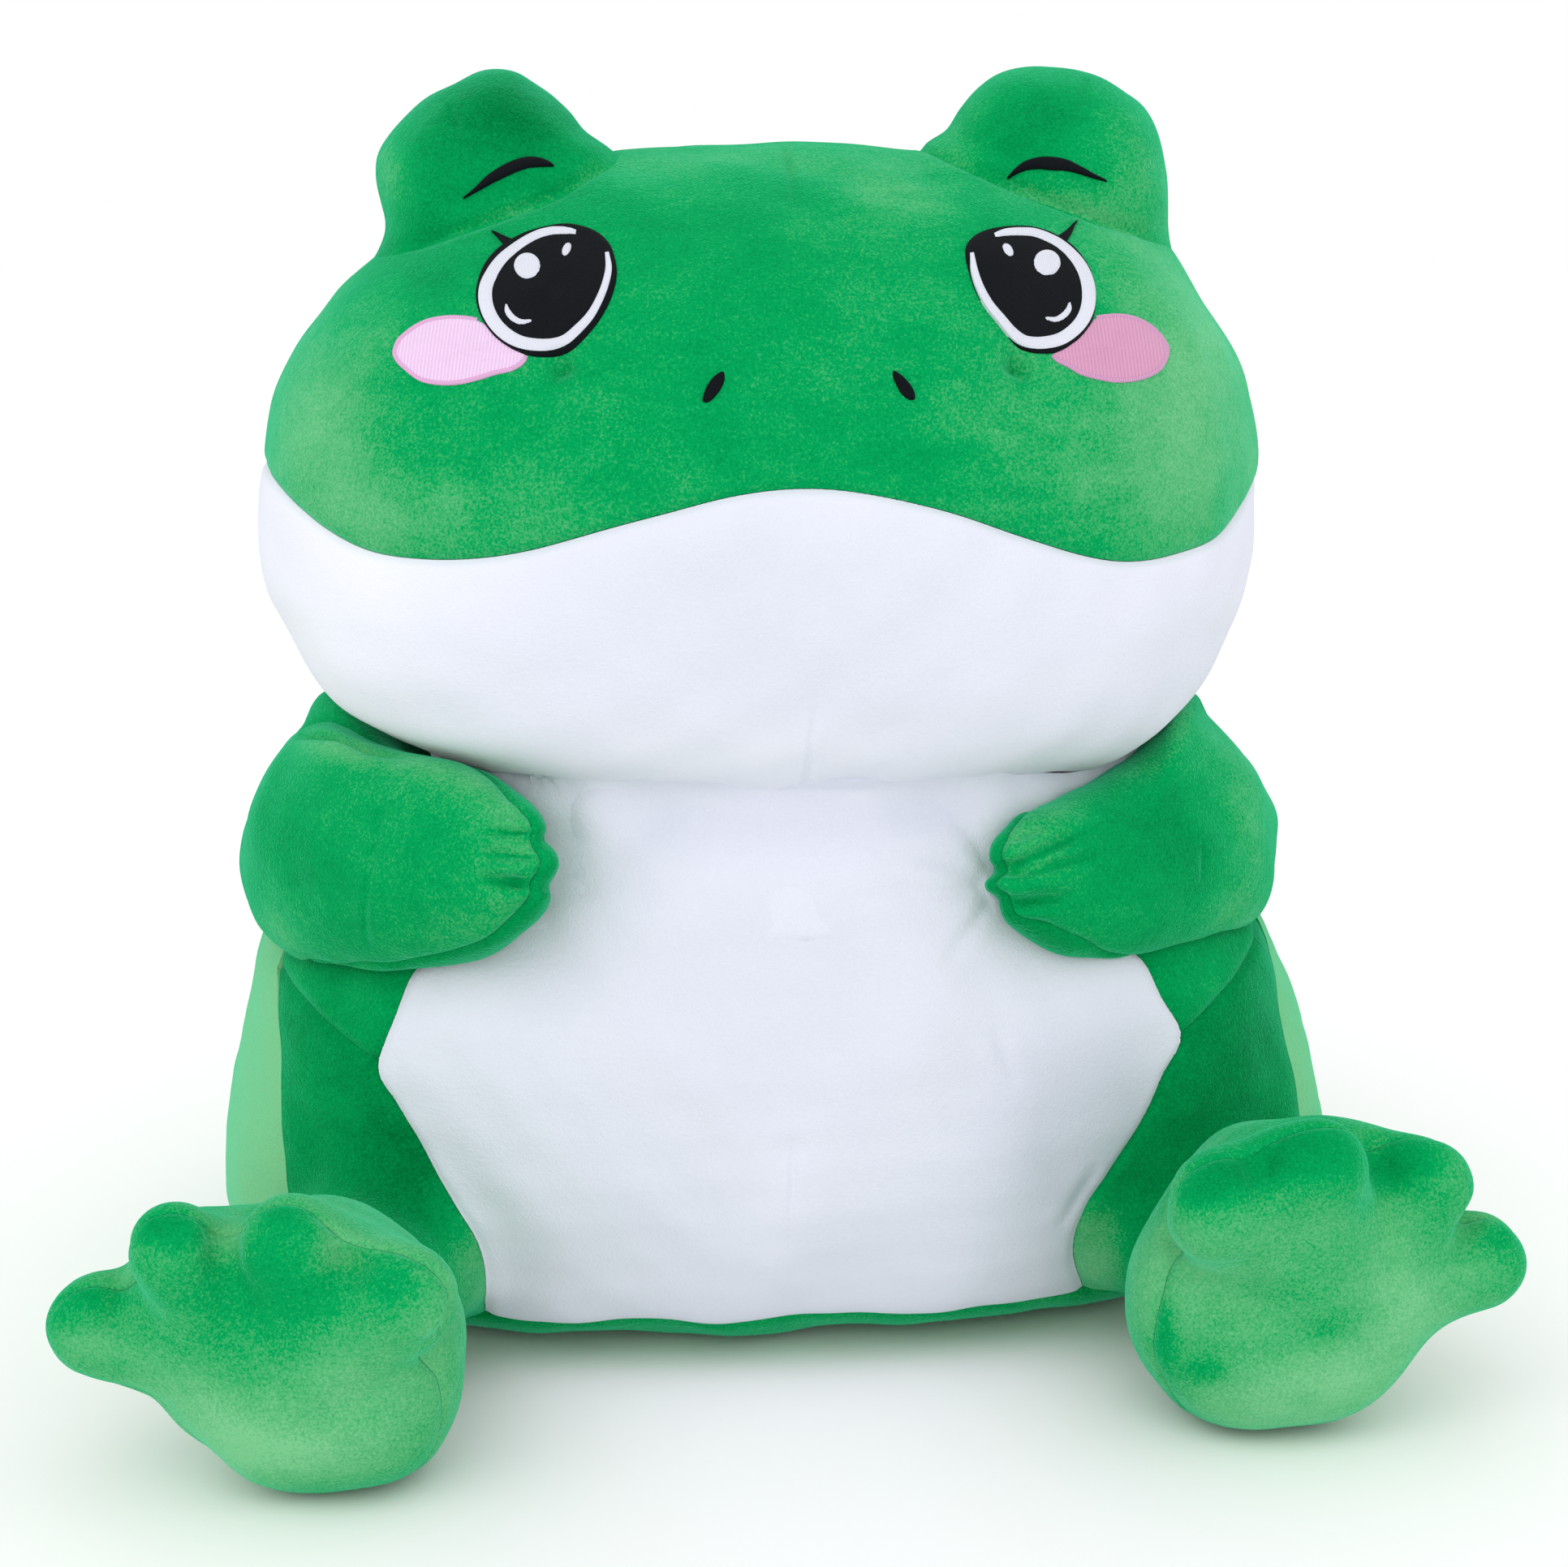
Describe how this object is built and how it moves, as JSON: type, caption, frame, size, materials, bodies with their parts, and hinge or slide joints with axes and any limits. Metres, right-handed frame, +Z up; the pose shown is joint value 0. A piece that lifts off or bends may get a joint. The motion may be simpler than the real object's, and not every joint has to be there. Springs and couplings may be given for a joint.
{
  "type": "plush frog",
  "caption": "Sitting plush frog sewn from short-pile fabric panels over fibre filling, with a wide head, domed brows, embroidered face and soft jointed limbs.",
  "frame": {"origin": "on the floor, on the flat underside that the frog sits on", "axes": "+Z up, the frog looks along -Y, +X towards its own left hand"},
  "size_m": [0.4443, 0.3661, 0.4429],
  "materials": {
    "green_plush": "short nap, soft sheen",
    "white_plush": "short nap, soft sheen",
    "fibre_filling": "loose fibre",
    "black_thread": "satin stitch",
    "white_thread": "satin stitch",
    "pink_thread": "satin stitch"
  },
  "bodies": {
    "torso": {"base_cover": "green_plush", "belly_cover": "white_plush", "flank_cover_left": "green_plush", "flank_cover_right": "green_plush", "thigh_cover_left": "green_plush", "thigh_cover_right": "green_plush", "back_cover_left": "green_plush", "back_cover_right": "green_plush", "body_stuffing": "fibre_filling"},
    "neck": {"neck_stuffing": "fibre_filling"},
    "head": {"head_face_cover": "green_plush", "head_chin_cover": "white_plush", "head_back_cover": "green_plush", "head_stuffing": "fibre_filling", "eye_bump_cover_left": "green_plush", "eye_bump_cover_right": "green_plush", "eye_bump_stuffing_left": "fibre_filling", "eye_bump_stuffing_right": "fibre_filling", "eye_black_left": "black_thread", "eye_black_right": "black_thread", "eye_ring_left": "white_thread", "eye_ring_right": "white_thread", "eye_glint_large_left": "white_thread", "eye_glint_large_right": "white_thread", "eye_glint_small_left": "white_thread", "eye_glint_small_right": "white_thread", "eye_crescent_left": "white_thread", "eye_crescent_right": "white_thread", "eyelash_left": "black_thread", "eyelash_right": "black_thread", "cheek_left": "pink_thread", "cheek_right": "pink_thread", "nostril_left": "black_thread", "nostril_right": "black_thread", "eyebrow_left": "black_thread", "eyebrow_right": "black_thread"},
    "arm_left": {"arm_outer_cover_left": "green_plush", "arm_palm_cover_left": "green_plush", "arm_stuffing_left": "fibre_filling"},
    "arm_right": {"arm_outer_cover_right": "green_plush", "arm_palm_cover_right": "green_plush", "arm_stuffing_right": "fibre_filling"},
    "leg_left": {"leg_cover_left": "green_plush", "leg_stuffing_left": "fibre_filling"},
    "leg_right": {"leg_cover_right": "green_plush", "leg_stuffing_right": "fibre_filling"},
    "foot_left": {"foot_sole_cover_left": "green_plush", "foot_top_cover_left": "green_plush", "foot_stuffing_left": "fibre_filling"},
    "foot_right": {"foot_sole_cover_right": "green_plush", "foot_top_cover_right": "green_plush", "foot_stuffing_right": "fibre_filling"}
  },
  "joints": [
    {"name": "neck_turn", "type": "hinge", "parent": "torso", "child": "neck", "pos_m": [0, 0.005, 0.2], "axis": [0, 0, 1], "range_deg": [-15, 15], "stiffness_Nm_per_rad": 1.2},
    {"name": "head_nod", "type": "hinge", "parent": "neck", "child": "head", "pos_m": [0, 0.005, 0.2], "axis": [1, 0, 0], "range_deg": [-10, 3], "stiffness_Nm_per_rad": 6},
    {"name": "shoulder_left", "type": "hinge", "parent": "torso", "child": "arm_left", "pos_m": [-0.122, 0.004, 0.177], "axis": [0, 0, -1], "range_deg": [0, 60], "stiffness_Nm_per_rad": 0.25},
    {"name": "shoulder_right", "type": "hinge", "parent": "torso", "child": "arm_right", "pos_m": [0.122, 0.004, 0.1765], "axis": [0, 0, 1], "range_deg": [0, 60], "stiffness_Nm_per_rad": 0.25},
    {"name": "hip_left", "type": "hinge", "parent": "torso", "child": "leg_left", "pos_m": [-0.137, -0.082, 0.046], "axis": [0, 0, -1], "range_deg": [-8, 25], "stiffness_Nm_per_rad": 0.5},
    {"name": "hip_right", "type": "hinge", "parent": "torso", "child": "leg_right", "pos_m": [0.14, -0.082, 0.046], "axis": [0, 0, 1], "range_deg": [-8, 25], "stiffness_Nm_per_rad": 0.5},
    {"name": "ankle_left", "type": "hinge", "parent": "leg_left", "child": "foot_left", "pos_m": [-0.15, -0.131, 0.046], "axis": [1, 0, 0], "range_deg": [-12, 12], "stiffness_Nm_per_rad": 0.8},
    {"name": "ankle_right", "type": "hinge", "parent": "leg_right", "child": "foot_right", "pos_m": [0.147, -0.122, 0.046], "axis": [1, 0, 0], "range_deg": [-12, 12], "stiffness_Nm_per_rad": 0.8}
  ]
}
